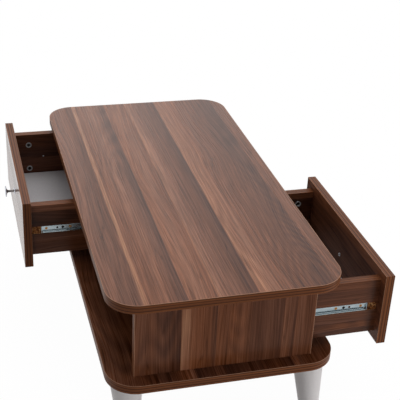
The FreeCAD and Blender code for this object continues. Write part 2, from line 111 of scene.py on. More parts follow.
def linear(channel):
    share = channel / 255
    return share / 12.92 if share <= 0.04045 else ((share + 0.055) / 1.055) ** 2.4


def paint(red, green, blue):
    """Linear colour from display values of 0 to 255."""
    return (linear(red), linear(green), linear(blue), 1.0)


def ramp(tree, value, stops, interpolation="LINEAR"):
    node = add(tree, "ShaderNodeValToRGB", inputs={"Fac": value})
    band = node.color_ramp
    band.interpolation = interpolation
    while len(band.elements) < len(stops):
        band.elements.new(0.5)
    for element, (place, colour) in zip(band.elements, stops):
        element.position = place
        element.color = colour
    return node.outputs["Color"]


def new_group(name, inputs, outputs):
    group = bpy.data.node_groups.new(name, "ShaderNodeTree")
    for direction, sockets in (("INPUT", inputs), ("OUTPUT", outputs)):
        for socket in sockets:
            group.interface.new_socket(name=socket, in_out=direction,
                                       socket_type=SOCKETS.get(socket, "NodeSocketFloat"))
    return group, group.nodes.new("NodeGroupInput").outputs, group.nodes.new("NodeGroupOutput")


def finish_group(group, finish, results):
    for name, value in results.items():
        group.links.new(value, finish.inputs[name])
    return group


def use(tree, group, inputs):
    """Outputs of a node group placed in a tree."""
    return add(tree, "ShaderNodeGroup", {"node_tree": group}, inputs).outputs


# Walnut-effect laminate: printed planks, long grain, and fine pores

# Colours of the print, by tone
WALNUT = [
    (0.00, paint(52, 27, 16)),
    (0.22, paint(82, 46, 28)),
    (0.40, paint(106, 62, 38)),
    (0.55, paint(123, 74, 47)),
    (0.72, paint(141, 92, 64)),
    (0.88, paint(165, 117, 85)),
    (1.00, paint(181, 136, 104)),
]

# One seed for each plank of a sheet, in order, and the width of the joint between two planks
PLANK_SEEDS = (0.35, 0.95, 0.60, 0.15, 0.75, 0.30, 0.85, 0.50, 0.05)
PLANK_JOINT = 1.4 * MM


def grey(share):
    return (share, share, share, 1.0)


def plank_group(name, width, rows):
    """Tone across a printed sheet, and a seed that changes wherever one plank meets the next."""
    group, start, finish = new_group(name, ["Across"], ["Tone", "Seed"])
    sheet = calc(group, "FRACT", calc(group, "DIVIDE", start["Across"], width))
    ends = [row[0] - PLANK_JOINT for row in rows[1:]] + [width]
    stops = []
    for (begin, first, middle, last), end in zip(rows, ends):
        stops += [(begin, first), ((begin + end) / 2, middle), (end, last)]
    tones = ramp(group, sheet, [(place / width, grey(tone)) for place, tone in stops])
    seeds = ramp(group, sheet, [(row[0] / width, grey(seed)) for row, seed in zip(rows, PLANK_SEEDS)],
                 "CONSTANT")
    return finish_group(group, finish, {
        "Tone": luminance(group, tones), "Seed": luminance(group, seeds)})


# Width of each printed sheet, then for each plank where it starts across it, in metres, and its tone
# at its first edge, its middle and its last edge
TOP_SHEET = plank_group("printed_planks", 0.6, (
    (0.000, 0.40, 0.60, 0.35), (0.135, 0.80, 0.80, 0.80), (0.144, 0.50, 0.60, 0.25),
    (0.217, 0.60, 0.65, 0.45), (0.272, 0.75, 0.45, 0.25), (0.348, 0.75, 0.45, 0.25),
    (0.497, 0.45, 0.50, 0.40)))
PANEL_SHEET = plank_group("panel_planks", 0.4, (
    (0.000, 0.45, 0.40, 0.20), (0.114, 0.80, 0.80, 0.80), (0.130, 0.60, 0.55, 0.35),
    (0.181, 0.50, 0.50, 0.35), (0.205, 0.50, 0.50, 0.30), (0.264, 0.30, 0.40, 0.30),
    (0.312, 0.55, 0.50, 0.30), (0.337, 0.50, 0.35, 0.45)))
SHELF_SHEET = plank_group("shelf_planks", 0.5, (
    (0.000, 0.60, 0.35, 0.25), (0.119, 0.35, 0.30, 0.15), (0.143, 0.35, 0.40, 0.45),
    (0.181, 0.60, 0.65, 0.65), (0.191, 0.10, 0.30, 0.30), (0.249, 0.05, 0.25, 0.25),
    (0.321, 0.25, 0.30, 0.15), (0.384, 0.55, 0.60, 0.55), (0.396, 0.30, 0.35, 0.60)))
END_SIDE_SHEET = plank_group("end_side_planks", 0.4, (
    (0.000, 0.30, 0.30, 0.25), (0.201, 0.40, 0.40, 0.30), (0.216, 0.25, 0.25, 0.30),
    (0.224, 0.35, 0.40, 0.35), (0.265, 0.30, 0.30, 0.20), (0.290, 0.35, 0.45, 0.30)))
MIDDLE_SIDE_SHEET = plank_group("middle_side_planks", 0.4, (
    (0.000, 0.35, 0.35, 0.35), (0.202, 0.25, 0.25, 0.30), (0.220, 0.40, 0.40, 0.40),
    (0.238, 0.15, 0.15, 0.15), (0.294, 0.60, 0.60, 0.35)))
FRONT_SHEET = plank_group("front_planks", 0.4, (
    (0.000, 0.30, 0.30, 0.30), (0.206, 0.40, 0.40, 0.35), (0.221, 0.25, 0.30, 0.35),
    (0.256, 0.25, 0.20, 0.25), (0.306, 0.45, 0.50, 0.30)))


# Noise of the grain: repeats per metre across and along it, detail and roughness
GRAIN = {
    "bends": (7.0, 2.4, 1.0, 0.5),
    "broad": (24.0, 1.3, 2.0, 0.5),
    "streaks": (105.0, 2.2, 3.0, 0.6),
    "lines": (330.0, 3.8, 3.0, 0.65),
    "hairs": (1000.0, 10.0, 2.0, 0.6),
    "mottle": (90.0, 22.0, 3.0, 0.6),
    "veins": (34.0, 1.5, 2.0, 0.45),
    "veined": (11.0, 3.0, 2.0, 0.5),
    "rings": (7.0, 1.5, 1.0, 0.5),
    "ringed": (8.0, 1.2, 2.0, 0.5),
    "pits": (1500.0, 40.0, 1.0, 0.5),
    "greyed": (15.0, 0.7, 2.0, 0.5),
}
# Values of the noise between which these set in
SETS_IN = {"veined": (0.42, 0.56), "ringed": (0.47, 0.62), "pits": (0.60, 0.72), "greyed": (0.44, 0.60)}
# Value at which each part of the grain does nothing, and its weight in the tone and in the shade
TONE_WEIGHTS = {"broad": (0.5, 0.20), "lines": (0.5, 0.16), "mottle": (0.5, 0.07),
                "veins": (0.0, -0.08), "knots": (0.0, -0.25)}
SHADE_WEIGHTS = {"streaks": (0.5, 0.35), "lines": (0.5, 1.15), "hairs": (0.5, 2.0),
                 "pits": (0.0, -0.16), "veins": (0.0, -0.20)}
STREAK_WEIGHT = 0.20
STREAK_STRENGTHS = (0.65, 1.3)
RING_WEIGHT = 0.07
RINGS = 170.0
# Seeds of the planks with wavy and with straight grain, and how far each bends, in metres
WAVY_SEED, STRAIGHT_SEED = 0.30, 0.60
WAVY_BEND, STRAIGHT_BEND = 0.060, 0.014
VEIN_WIDTH = 0.010
KNOTS_PER_METRE = (7.0, 3.4)
KNOT_EDGE = (0.012, 0.032)
SEED_SPREAD = 40.0
GREYED_SATURATION = 0.93
DARKEST_SHADE = 0.2
SHADE_LIFT = 0.022
GLOSS_TONE = 0.45
GLOSS_BY_TONE = 0.13
LINE_RANGE = (0.2, 0.8)
LAMINATE_ROUGH = (0.24, 0.32)


def walnut_group():
    """Colour, roughness and relief of the print, from a plank's tone and seed."""
    group, start, finish = new_group(
        "walnut_grain", ["Across", "Along", "Tone", "Sheet", "Seed", "Contrast"],
        ["Color", "Roughness", "Height"])
    across, along, seed = start["Across"], start["Along"], start["Seed"]
    sheet = calc(group, "MULTIPLY_ADD", seed, SEED_SPREAD, start["Sheet"])
    strength = remap(group, seed, 0.0, 1.0, *STREAK_STRENGTHS)

    def scaled(value, factor):
        return calc(group, "MULTIPLY", value, factor)

    def stretched(at, per_metre, lengthwise):
        return vector(group, scaled(at, per_metre), scaled(along, lengthwise), sheet)

    def grain(name, at):
        per_metre, lengthwise, detail, roughness = GRAIN[name]
        return noise(group, stretched(at, per_metre, lengthwise), detail=detail, roughness=roughness)

    def patches(name, at):
        return remap(group, grain(name, at), *SETS_IN[name])

    def weighted(total, weights):
        for name, (rest, weight) in weights.items():
            total = shifted_by(group, parts[name], rest, weight, total)
        return total

    reach = remap(group, seed, WAVY_SEED, STRAIGHT_SEED, WAVY_BEND, STRAIGHT_BEND)
    bent = calc(group, "MULTIPLY_ADD", grain("bends", across), reach, across)
    parts = {name: grain(name, bent) for name in ("broad", "streaks", "lines", "hairs")}
    parts["mottle"] = grain("mottle", across)
    parts["pits"] = patches("pits", bent)
    vein_off = calc(group, "ABSOLUTE", calc(group, "SUBTRACT", grain("veins", bent), 0.5))
    parts["veins"] = calc(group, "MULTIPLY", remap(group, vein_off, 0.0, VEIN_WIDTH, 1.0, 0.0),
                          patches("veined", across))
    knot_cells = add(group, "ShaderNodeTexVoronoi", inputs={
        "Vector": stretched(bent, *KNOTS_PER_METRE), "Scale": 1.0, "Randomness": 1.0})
    parts["knots"] = remap(group, knot_cells.outputs["Distance"], *KNOT_EDGE, 1.0, 0.0)
    rings = calc(group, "SINE", scaled(grain("rings", across), RINGS))
    rings = calc(group, "MULTIPLY", rings, patches("ringed", across))

    tone = weighted(start["Tone"], TONE_WEIGHTS)
    tone = calc(group, "MULTIPLY_ADD", rings, RING_WEIGHT, tone)
    tone = shifted_by(group, parts["streaks"], 0.5, scaled(strength, STREAK_WEIGHT), tone)
    wood = ramp(group, tone, WALNUT)
    greyed = add(group, "ShaderNodeHueSaturation", inputs={
        "Hue": 0.5, "Saturation": GREYED_SATURATION, "Value": 1.0, "Fac": 1.0, "Color": wood}).outputs[0]
    wood = blend_colours(group, patches("greyed", across), wood, greyed)

    shade = shifted_by(group, weighted(1.0, SHADE_WEIGHTS), 1.0, start["Contrast"], 1.0)
    wood = add(group, "ShaderNodeVectorMath", {"operation": "SCALE"}, {
        0: wood, "Scale": calc(group, "MAXIMUM", shade, DARKEST_SHADE)}).outputs[0]
    wood = add(group, "ShaderNodeVectorMath", {"operation": "ADD"}, {
        0: wood, 1: scaled(calc(group, "SUBTRACT", shade, 1.0), SHADE_LIFT)}).outputs[0]
    rough = calc(group, "MULTIPLY_ADD", calc(group, "SUBTRACT", GLOSS_TONE, tone), GLOSS_BY_TONE,
                 remap(group, parts["lines"], *LINE_RANGE, *LAMINATE_ROUGH))
    relief = calc(group, "SUBTRACT", parts["hairs"], parts["pits"])
    return finish_group(group, finish, {"Color": wood, "Roughness": rough, "Height": relief})


# Noise of the edge bands' print: repeats over the width, repeats per metre along it, seed, detail
BAND_NOISE = {
    "broad": (5.0, 1.5, 3.0, 2.0),
    "fine": (28.0, 5.0, 8.0, 2.0),
    "wander": (0.6, 2.2, 5.0, 1.0),
    "breaks": (3.0, 3.0, 11.0, 2.0),
}
# Dark lines printed on the edge bands: where across the width, and how wide
BAND_LINES = ((0.30, 0.075), (0.66, 0.085), (0.93, 0.04))
# Share of a line's width that is fully dark, how far it wanders, and how dark it stays at its breaks
LINE_CORE = 0.35
LINE_WANDER = 0.22
LINE_BREAKS = (0.30, 0.55, 0.45, 1.0)
BROAD_WEIGHT, FINE_WEIGHT, LINE_WEIGHT = 0.7, 0.5, -0.34
BAND_COLOURS = [
    (0.0, paint(52, 27, 14)),
    (0.3, paint(90, 50, 27)),
    (0.55, paint(128, 77, 44)),
    (0.8, paint(152, 98, 60)),
    (1.0, paint(170, 118, 78)),
]
# Pale colour at the bands' corners: painted highlight of the rounded arris
ARRIS_PAINTED_HIGHLIGHT = paint(172, 130, 104)
BAND_ROUGH = (0.40, 0.52)


def band_group():
    """Edge band printed with dark lines along its length. Across runs from 0 to 1 over its width."""
    group, start, finish = new_group(
        "edge_band_lines", ["Across", "Along", "Arris", "Tone"], ["Color", "Roughness", "Height"])
    across, along = start["Across"], start["Along"]

    def printed(name):
        over, per_metre, seed, detail = BAND_NOISE[name]
        place = vector(group, calc(group, "MULTIPLY", across, over),
                       calc(group, "MULTIPLY", along, per_metre), seed)
        return noise(group, place, detail=detail)

    broad, fine = printed("broad"), printed("fine")
    wander = shifted_by(group, printed("wander"), 0.5, LINE_WANDER, across)
    lines = 0.0
    for middle, reach in BAND_LINES:
        off = calc(group, "ABSOLUTE", calc(group, "SUBTRACT", wander, middle))
        line = remap(group, off, reach * LINE_CORE, reach, 1.0, 0.0)
        lines = calc(group, "MAXIMUM", lines, line)
    lines = calc(group, "MULTIPLY", lines, remap(group, printed("breaks"), *LINE_BREAKS))
    tone = shifted_by(group, broad, 0.5, BROAD_WEIGHT, start["Tone"])
    tone = shifted_by(group, fine, 0.5, FINE_WEIGHT, tone)
    tone = calc(group, "MULTIPLY_ADD", lines, LINE_WEIGHT, tone)
    # Near the arris the band turns pale: painted highlight
    colour = blend_colours(group, start["Arris"], ramp(group, tone, BAND_COLOURS), ARRIS_PAINTED_HIGHLIGHT)
    rough = remap(group, fine, *LINE_RANGE, *BAND_ROUGH)
    return finish_group(group, finish, {"Color": colour, "Roughness": rough, "Height": broad})


CHIPS_PER_METRE = 400.0
CHIP_COLOURS = [
    (0.0, paint(52, 27, 13)),
    (0.35, paint(140, 85, 46)),
    (0.65, paint(210, 146, 88)),
    (1.0, paint(246, 202, 144)),
]


def chipboard_group():
    """Raw chipboard: pale and dark chips pressed together."""
    group, start, finish = new_group("chipboard_chips", ["Vector"], ["Color", "Height"])
    chips = add(group, "ShaderNodeTexVoronoi", {"distance": "MANHATTAN"},
                {"Vector": start["Vector"], "Scale": CHIPS_PER_METRE, "Randomness": 1.0})
    tone = luminance(group, chips.outputs["Color"])
    colour = ramp(group, tone, CHIP_COLOURS)
    return finish_group(group, finish, {"Color": colour, "Height": chips.outputs["Distance"]})


# Clouds of a mark's size and grit this many times finer, and their shares in the marks
GRIT_FINER = 12.0
CLOUD_SHARE, GRIT_SHARE = 0.7, 0.3


def handling_group():
    """Faint handling marks: small changes of gloss and shade."""
    group, start, finish = new_group("handling_marks", ["Vector", "Size"], ["Marks", "Height"])
    cloud = noise(group, start["Vector"], calc(group, "DIVIDE", 1.0, start["Size"]), 3.0, 0.6)
    grit = noise(group, start["Vector"], calc(group, "DIVIDE", GRIT_FINER, start["Size"]), 2.0, 0.6)
    marks = calc(group, "MULTIPLY_ADD", grit, GRIT_SHARE, calc(group, "MULTIPLY", cloud, CLOUD_SHARE))
    return finish_group(group, finish, {"Marks": marks, "Height": grit})


WALNUT_GRAIN = walnut_group()
EDGE_LINES = band_group()
CHIPS = chipboard_group()
HANDLING = handling_group()


# Materials

TOP_GLOSS = 0.14
LAMINATE_GLOSS = 0.10
DRAWER_GLOSS = 0.15
PANEL_CONTRAST = 0.72
SHELF_CONTRAST = 1.15
DRAWER_CONTRAST = 0.85
GRAIN_DEPTH = 0.04 * MM
BAND_DEPTH = 0.05 * MM
# Roughness of a grooved board, on its laminate and on its bare chipboard
GROOVED_ROUGH = (0.28, 0.85)
# Values of the handling marks between which the second shade and the roughness set in
SHADE_RANGE = (0.35, 0.65)
ROUGH_RANGE = (0.3, 0.7)


def start_material(name):
    """New material with its tree, its Principled shader and its object coordinates."""
    material = bpy.data.materials.new(name)
    material.use_nodes = True
    tree = material.node_tree
    shader = tree.nodes["Principled BSDF"]
    place = add(tree, "ShaderNodeTexCoord").outputs["Object"]
    return material, tree, shader, place


def bumped(tree, shader, height, distance, strength=0.5):
    bump = add(tree, "ShaderNodeBump", inputs={
        "Height": height, "Distance": distance, "Strength": strength})
    tree.links.new(bump.outputs["Normal"], shader.inputs["Normal"])


def axes(tree, place):
    split = add(tree, "ShaderNodeSeparateXYZ", inputs={"Vector": place}).outputs
    return {"x": split["X"], "y": split["Y"], "z": split["Z"]}


def between(tree, value, low, high):
    """1 where the value lies between two limits, else 0."""
    above = calc(tree, "GREATER_THAN", value, low)
    return calc(tree, "MULTIPLY", above, calc(tree, "LESS_THAN", value, high))


def walnut_material(name, across, along, shift, sheet, tone=0.0, raw=None, planks=TOP_SHEET,
                    specular=LAMINATE_GLOSS, rough=0.0, contrast=1.0, relief=0.5):
    """Laminate with its grain along one axis. Raw lists the (axis, low, high) of a bare groove."""
    material, tree, shader, place = start_material(name)
    shader.inputs["Specular IOR Level"].default_value = specular
    at = axes(tree, place)
    shifted = calc(tree, "ADD", at[across], shift)
    plank = use(tree, planks, {"Across": shifted})
    wood = use(tree, WALNUT_GRAIN, {
        "Across": shifted, "Along": at[along], "Tone": calc(tree, "ADD", plank["Tone"], tone),
        "Sheet": sheet, "Seed": plank["Seed"], "Contrast": contrast})
    colour, height = wood["Color"], wood["Height"]
    gloss = calc(tree, "ADD", wood["Roughness"], rough)
    if raw:
        bare = 1.0
        for axis, low, high in raw:
            bare = calc(tree, "MULTIPLY", bare, between(tree, at[axis], low, high))
        chips = use(tree, CHIPS, {"Vector": place})
        colour = blend_colours(tree, bare, colour, chips["Color"])
        gloss = blend_values(tree, bare, *GROOVED_ROUGH)
        height = blend_values(tree, bare, height, chips["Height"])
    tree.links.new(colour, shader.inputs["Base Color"])
    tree.links.new(gloss, shader.inputs["Roughness"])
    bumped(tree, shader, height, GRAIN_DEPTH, relief)
    return material


def band_material(name, strips, along, arris=(), tone=0.42):
    """Edge band with printed lines along it.

    Strips lists (axis, low, high, where): the band's width, and the (axis, low, high) where it
    holds if the node has several bands. Arris lists (axis, place, reach) of corners with a painted
    highlight.
    """
    material, tree, shader, place = start_material(name)
    shader.inputs["Specular IOR Level"].default_value = LAMINATE_GLOSS
    at = axes(tree, place)
    lengthwise = calc(tree, "ADD", at[along[0]], at[along[1]]) if len(along) == 2 else at[along]
    crosswise = None
    for axis, low, high, where in strips:
        share = remap(tree, at[axis], low, high)
        if crosswise is None:
            crosswise = share
        else:
            inside = between(tree, at[where[0]], where[1], where[2])
            crosswise = blend_values(tree, inside, crosswise, share)
    # How far each point lies within the painted highlight along the band's corners
    arris_highlight = 0.0
    for axis, line, reach in arris:
        off = calc(tree, "ABSOLUTE", calc(tree, "SUBTRACT", at[axis], line))
        arris_highlight = calc(tree, "MAXIMUM", arris_highlight, remap(tree, off, 0.0, reach, 1.0, 0.0))
    lines = use(tree, EDGE_LINES, {
        "Across": crosswise, "Along": lengthwise, "Tone": tone, "Arris": arris_highlight})
    tree.links.new(lines["Color"], shader.inputs["Base Color"])
    tree.links.new(lines["Roughness"], shader.inputs["Roughness"])
    bumped(tree, shader, lines["Height"], BAND_DEPTH)
    return material


def plain_material(name, colour, shade, roughness, metallic=0.0, grain=(1.0, 1.0, 1.0), size=0.003,
                   relief=0.01):
    """Even finish with faint marks of a size in metres, and a fine relief in millimetres."""
    material, tree, shader, place = start_material(name)
    stretched = add(tree, "ShaderNodeMapping", inputs={"Vector": place, "Scale": grain}).outputs[0]
    marks = use(tree, HANDLING, {"Vector": stretched, "Size": size})
    tinted = blend_colours(tree, remap(tree, marks["Marks"], *SHADE_RANGE), colour, shade)
    rough = remap(tree, marks["Marks"], *ROUGH_RANGE, *roughness)
    tree.links.new(tinted, shader.inputs["Base Color"])
    tree.links.new(rough, shader.inputs["Roughness"])
    shader.inputs["Metallic"].default_value = metallic
    bumped(tree, shader, marks["Height"], relief * MM)
    return material


def dress(node, material):
    for slot in nodes[node].material_slots:
        slot.material = material


# Reach of the painted highlight along the corner of an edge band
ARRIS = 0.9 * MM

top_walnut = walnut_material("walnut_top", "x", "y", 0.300, 1.7, -0.03, specular=TOP_GLOSS)
shelf_walnut = walnut_material("walnut_shelf", "x", "y", 0.250, 4.1, planks=SHELF_SHEET,
                               contrast=SHELF_CONTRAST)
panel_walnut = walnut_material("walnut_panels", "x", "z", 0.200, 7.3, -0.03, planks=PANEL_SHEET,
                               contrast=PANEL_CONTRAST)
middle_walnut = walnut_material("walnut_partition", "x", "z", 0.200, 9.9, planks=PANEL_SHEET,
                                contrast=PANEL_CONTRAST)


def board_band(name, board):
    """Band round a lying board, with a painted highlight mostly along its upper corner."""
    low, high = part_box(board)
    return band_material(name, [("z", low.z, high.z, None)], "xy",
                         [("z", high.z, ARRIS), ("z", low.z, ARRIS / 2)])


hardboard = plain_material("white_hardboard", paint(206, 207, 210), paint(198, 199, 203), (0.5, 0.6),
                           size=0.004, relief=0.02)
leg_plastic = plain_material("grey_moulding", paint(228, 226, 226), paint(223, 221, 221), (0.38, 0.46))
dark_plastic = plain_material("dark_moulding", paint(38, 38, 39), paint(46, 46, 47), (0.5, 0.6),
                              size=0.004, relief=0.02)
slide_steel = plain_material("slide_zinc", paint(168, 179, 183), paint(141, 153, 158), (0.18, 0.32),
                             metallic=1.0, grain=(1.0, 6.0, 6.0), size=0.012)
screw_zinc = plain_material("screw_zinc", paint(206, 206, 210), paint(188, 189, 194), (0.25, 0.4),
                            metallic=1.0)
screw_yellow = plain_material("screw_yellow_zinc", paint(180, 134, 84), paint(144, 104, 62),
                              (0.28, 0.4), metallic=1.0)
# Dark steel on the locating screws' heads and shanks: painted shade, standing for the dark holes in the
# rails
screw_painted_shade = plain_material("screw_painted_dark_shade", paint(56, 54, 52), paint(42, 40, 39), (0.3, 0.45),
                            metallic=1.0)
# Dark metal for the inside of the cam recesses: painted shade
cam_recess_painted_shade = plain_material("cam_recess_painted_shade", paint(52, 50, 48), paint(38, 37, 36), (0.6, 0.8),
                            metallic=0.6, size=0.002, relief=0.02)
cam_alloy = plain_material("cam_alloy", paint(176, 177, 178), paint(158, 159, 160), (0.4, 0.55),
                           metallic=1.0, size=0.002, relief=0.02)
chrome = plain_material("knob_chrome", paint(190, 193, 201), paint(176, 179, 188), (0.05, 0.1),
                        metallic=1.0, size=0.01, relief=0.002)
# Darker chrome for the knobs' stems: painted reflection of the dark wood that the stem faces
stem_painted_reflection = plain_material("knob_stem_painted_reflection", paint(112, 106, 104), paint(96, 91, 90), (0.25, 0.35),
                              metallic=1.0, size=0.01, relief=0.002)
beech = plain_material("dowel_beech", paint(198, 164, 118), paint(180, 144, 100), (0.6, 0.7),
                       grain=(6.0, 6.0, 1.0), size=0.006, relief=0.05)

TABLE_MATERIALS = {
    "table_top": top_walnut,
    "table_top_edge_band": board_band("band_top", "table_top"),
    "lower_shelf": shelf_walnut,
    "lower_shelf_edge_band": board_band("band_shelf", "lower_shelf"),
    "end_panel_near": panel_walnut,
    "end_panel_far": panel_walnut,
    "centre_partition": middle_walnut,
    "carcass_cam_locks": cam_alloy,
    "carcass_cam_bolts": screw_zinc,
    "carcass_dowels": beech,
    "leg_near_left": leg_plastic,
    "leg_near_right": leg_plastic,
    "leg_far_left": leg_plastic,
    "leg_far_right": leg_plastic,
    "leg_mounting_plates": dark_plastic,
    "leg_plate_screws": screw_zinc,
    "foot_glides": dark_plastic,
    "cabinet_rail_screws": screw_yellow,
}
DRAWER_MATERIALS = {
    "drawer_bottom": hardboard,
    "drawer_knob": chrome,
    "drawer_knob_screw": screw_zinc,
    "drawer_cam_locks": cam_alloy,
    "drawer_cam_bolts": screw_zinc,
    "drawer_back_screws": screw_zinc,
    "drawer_rail_end": slide_steel,
    "drawer_rail_middle": slide_steel,
    "cabinet_rail_end": slide_steel,
    "cabinet_rail_middle": slide_steel,
    "ball_cages": slide_steel,
    "cage_balls": chrome,
    "drawer_rail_screws": screw_yellow,
    "drawer_locating_screws": screw_painted_shade,
}
# Half the height of a slide's groove, and the laminate's thickness
GROOVE_HALF = 8.9 * MM
SKIN = 0.15 * MM


def groove_in(node, middle_z):
    """Where a drawer side is bare inside its slide groove."""
    low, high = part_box(node)
    return [("z", middle_z - GROOVE_HALF, middle_z + GROOVE_HALF), ("y", low.y + SKIN, high.y - SKIN)]


# Printed sheet, its seed, added tone and gloss of each drawer side
SIDE_BOARDS = {
    "near_drawer_side_end": (END_SIDE_SHEET, 12.0, -0.03, DRAWER_GLOSS),
    "near_drawer_side_middle": (MIDDLE_SIDE_SHEET, 15.0, 0.0, DRAWER_GLOSS),
    "far_drawer_side_end": (SHELF_SHEET, 10.0, 0.10, DRAWER_GLOSS),
    "far_drawer_side_middle": (MIDDLE_SIDE_SHEET, 13.0, -0.03, LAMINATE_GLOSS),
}
# Sheet's seed, added tone and roughness, gloss and relief of each drawer front
FRONT_BOARDS = {"near": (21.0, 0.0, 0.25, DRAWER_GLOSS, 0.5), "far": (19.0, 0.35, -0.08, 0.09, 0.1)}
BACK_SEEDS = {"near": 26.0, "far": 24.0}
DRAWER_BAND_TONES = {"near": 0.42, "far": 0.5}
PANEL_BAND_TONE = 0.46
BAND_THICKNESS = 1.0 * MM


def upright_strip(node, axis="y"):
    """Width of the band on an upright board, and the stretch of Y where it holds."""
    low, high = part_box(node)
    return (axis, getattr(low, axis), getattr(high, axis), ("y", low.y - MM, high.y + MM))


def dress_drawer(half):
    drawer = half + "_drawer"
    for name, material in DRAWER_MATERIALS.items():
        dress(half + "_" + name, material)
    side_low, side_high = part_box(drawer + "_side_end")
    groove_z = (side_low.z + side_high.z + BAND_THICKNESS) / 2
    for node in (drawer + "_side_end", drawer + "_side_middle"):
        planks, seed, tone, gloss = SIDE_BOARDS[node]
        dress(node, walnut_material(
            "walnut_" + node, "z", "x", 0.0, seed, tone, groove_in(node, groove_z), planks, gloss,
            contrast=DRAWER_CONTRAST))
    seed, tone, rough, gloss, relief = FRONT_BOARDS[half]
    dress(drawer + "_front", walnut_material(
        "walnut_" + half + "_front", "z", "y", 0.0, seed, tone, planks=FRONT_SHEET, specular=gloss,
        rough=rough, contrast=DRAWER_CONTRAST, relief=relief))
    dress(drawer + "_back", walnut_material(
        "walnut_" + half + "_back", "z", "y", 0.0, BACK_SEEDS[half], planks=FRONT_SHEET,
        specular=DRAWER_GLOSS, contrast=DRAWER_CONTRAST))
    low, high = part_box(drawer + "_front_edge_band")
    dress(drawer + "_front_edge_band", band_material(
        "band_" + half + "_front", [("x", low.x, high.x, None)], "yz",
        [("x", low.x, ARRIS), ("x", high.x, ARRIS)]))
    dress(drawer + "_edge_bands", band_material(
        "band_" + drawer,
        [upright_strip(drawer + "_back", "x"), upright_strip(drawer + "_side_end"),
         upright_strip(drawer + "_side_middle")],
        "xy", tone=DRAWER_BAND_TONES[half]))


def dress_panel_bands():
    strips = [upright_strip(name) for name in ("end_panel_near", "centre_partition", "end_panel_far")]
    corners = [("y", edge, ARRIS) for strip in strips for edge in strip[1:3]]
    dress("panel_edge_bands", band_material("band_panels", strips, "z", corners, tone=PANEL_BAND_TONE))


for node, material in TABLE_MATERIALS.items():
    dress(node, material)
for half in HALVES:
    dress_drawer(half)
dress_panel_bands()


# New pieces, shaped finer than the solids that they stand for. Their sizes are in millimetres.

MERGE = 0.002 * MM
ARC_STEPS = 4


def ring_edges(shape, radius, along):
    """Edges of the ring that the spin made at a radius and a distance along the axis."""
    def on_ring(vert):
        return abs(math.hypot(vert.co.x, vert.co.y) - radius) < MERGE and abs(vert.co.z - along) < MERGE

    return [edge for edge in shape.edges if all(on_ring(vert) for vert in edge.verts)]


def rounded(shape, geom, size, affect, clamped=False):
    bmesh.ops.bevel(shape, geom=geom, offset=size * MM, segments=ARC_STEPS, profile=0.5, affect=affect,
                    material=-1, clamp_overlap=clamped)


def lathe(outline, steps=48):
    """Closed turned shape about Z from (radius, distance) points. A third number rounds the point."""
    shape = bmesh.new()
    points = [shape.verts.new((point[0] * MM, 0.0, point[1] * MM)) for point in outline]
    edges = [shape.edges.new(pair) for pair in zip(points, points[1:])]
    bmesh.ops.spin(shape, geom=points + edges, cent=(0.0, 0.0, 0.0), axis=(0.0, 0.0, 1.0),
                   angle=math.tau, steps=steps, use_merge=True)
    bmesh.ops.remove_doubles(shape, verts=shape.verts, dist=MERGE)
    for radius, along, size in [point for point in outline if len(point) == 3]:
        rounded(shape, ring_edges(shape, radius * MM, along * MM), size, "EDGES", clamped=True)
    return shape


def second_material(shape, radius, above=-math.inf, below=math.inf):
    """Gives the second material to faces near the axis, between two distances along it."""
    for face in shape.faces:
        at = face.calc_center_median()
        if math.hypot(at.x, at.y) < radius * MM and above * MM < at.z < below * MM:
            face.material_index = 1


def cross_recess(shape, mouth, arm, deepest):
    """Pulls the rings of a round recess into a cross with four arms."""
    for vert in shape.verts:
        radius = math.hypot(vert.co.x, vert.co.y)
        if MERGE < radius <= mouth * MM + MERGE and vert.co.z >= deepest * MM - MERGE:
            quarter = math.atan2(vert.co.y, vert.co.x) % (math.pi / 2)
            off = min(quarter, math.pi / 2 - quarter)
            reach = min(1.0, arm / (mouth * max(math.sin(off), 0.001)))
            vert.co.x *= reach
            vert.co.y *= reach


def placed(shape, start, direction, roll=0.0):
    """Moves a shape from the origin to its place, with its +Z along direction."""
    turn = Vector(direction).to_track_quat("Z", "Y").to_matrix().to_4x4()
    matrix = Matrix.Translation(Vector(start)) @ turn @ Matrix.Rotation(roll, 4, "Z")
    bmesh.ops.transform(shape, matrix=matrix, verts=shape.verts)
    return shape


def joined(shapes):
    """One bmesh from several."""
    whole = bmesh.new()
    for shape in shapes:
        part = bpy.data.meshes.new("part")
        shape.to_mesh(part)
        shape.free()
        whole.from_mesh(part)
        bpy.data.meshes.remove(part)
    return whole


def new_object(name, data):
    item = bpy.data.objects.new(name, data)
    bpy.context.scene.collection.objects.link(item)
    return item


def new_piece(name, shape, body, replaced, materials, sharp=38.0):
    bmesh.ops.remove_doubles(shape, verts=shape.verts, dist=MERGE)
    bmesh.ops.recalc_face_normals(shape, faces=shape.faces)
    mesh = bpy.data.meshes.new(name)
    shape.to_mesh(mesh)
    shape.free()
    mesh.shade_smooth()
    mesh.set_sharp_from_angle(angle=math.radians(sharp))
    for material in materials:
        mesh.materials.append(material)
    piece = new_object(name, mesh)
    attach(piece, body)
    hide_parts(replaced)


# Legs: moulded leaning cones, open at the head round the mounting plate

LEG_HEIGHT = 150.0
LEG_HEAD = 33.5
LEG_FOOT = 14.5
LEG_LEAN = 47.0
LEG_WALL = 3.0
LEG_FLOOR = 4.0
GLIDE = 3.0
FOOT_ROUND = 1.2
RIM_ROUND = 0.3
# Groove inside the head, for the plate: how far down it starts and ends, and how deep it is
SNAP_START, SNAP_END, SNAP_DEPTH = 3.0, 5.0, 0.8
# Middle of the head, inwards from the top's side and end
LEG_FROM_SIDE = 42.0
LEG_FROM_END = 64.0


def leg_radius(height):
    return LEG_FOOT + (LEG_HEAD - LEG_FOOT) * height / LEG_HEIGHT


